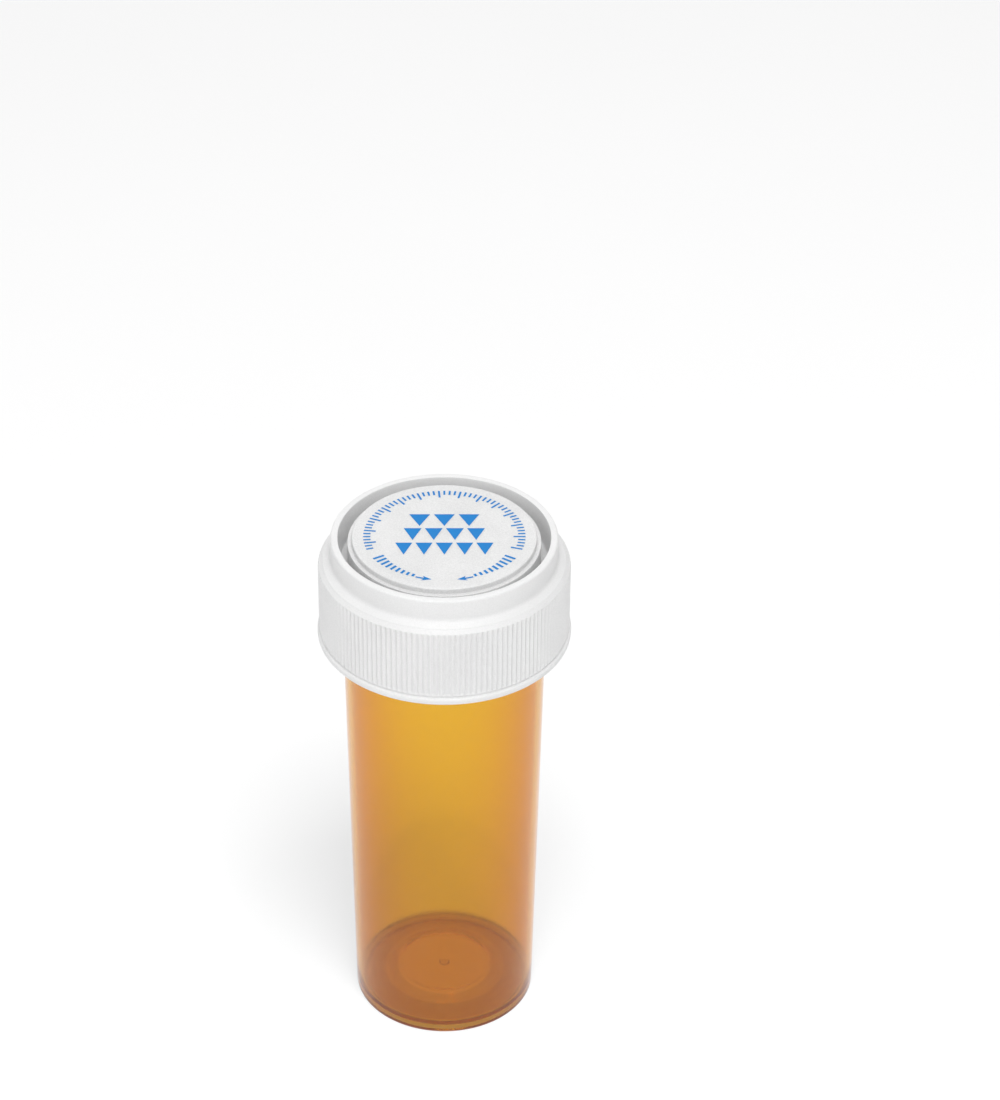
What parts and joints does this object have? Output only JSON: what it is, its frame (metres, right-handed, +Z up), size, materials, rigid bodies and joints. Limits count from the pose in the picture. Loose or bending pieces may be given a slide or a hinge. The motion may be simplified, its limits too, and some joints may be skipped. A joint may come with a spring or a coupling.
{
  "type": "prescription vial",
  "caption": "Translucent amber plastic pill vial with a white reversible child-resistant cap that is pushed down and turned.",
  "frame": {"origin": "centre of the face that the vial stands on", "axes": "+Z up along the vial's axis, from its floor to its cap; +X and +Y are level"},
  "size_m": [0.0408, 0.0408, 0.0915],
  "materials": {
    "amber_plastic": "translucent amber polypropylene, smooth and slightly glossy",
    "white_plastic": "white polypropylene with a fine moulded grain",
    "plug_plastic": "white low-density polyethylene, satin, printed in blue on its top face",
    "seal_plastic": "milky soft polyethylene"
  },
  "bodies": {
    "vial": {"vial_body": "amber_plastic"},
    "seal": {"spring_seal": "seal_plastic"},
    "cap": {"cap_shell": "white_plastic", "plug_disc": "plug_plastic"}
  },
  "joints": [
    {"name": "cap_slide", "type": "slide", "parent": "vial", "child": "seal", "axis": [0, 0, 1], "range_m": [0, 0.035]},
    {"name": "cap_turn", "type": "hinge", "parent": "seal", "child": "cap", "pos_m": [0, 0, 0.083], "axis": [0, 0, 1], "range_deg": [-30, 0]}
  ]
}
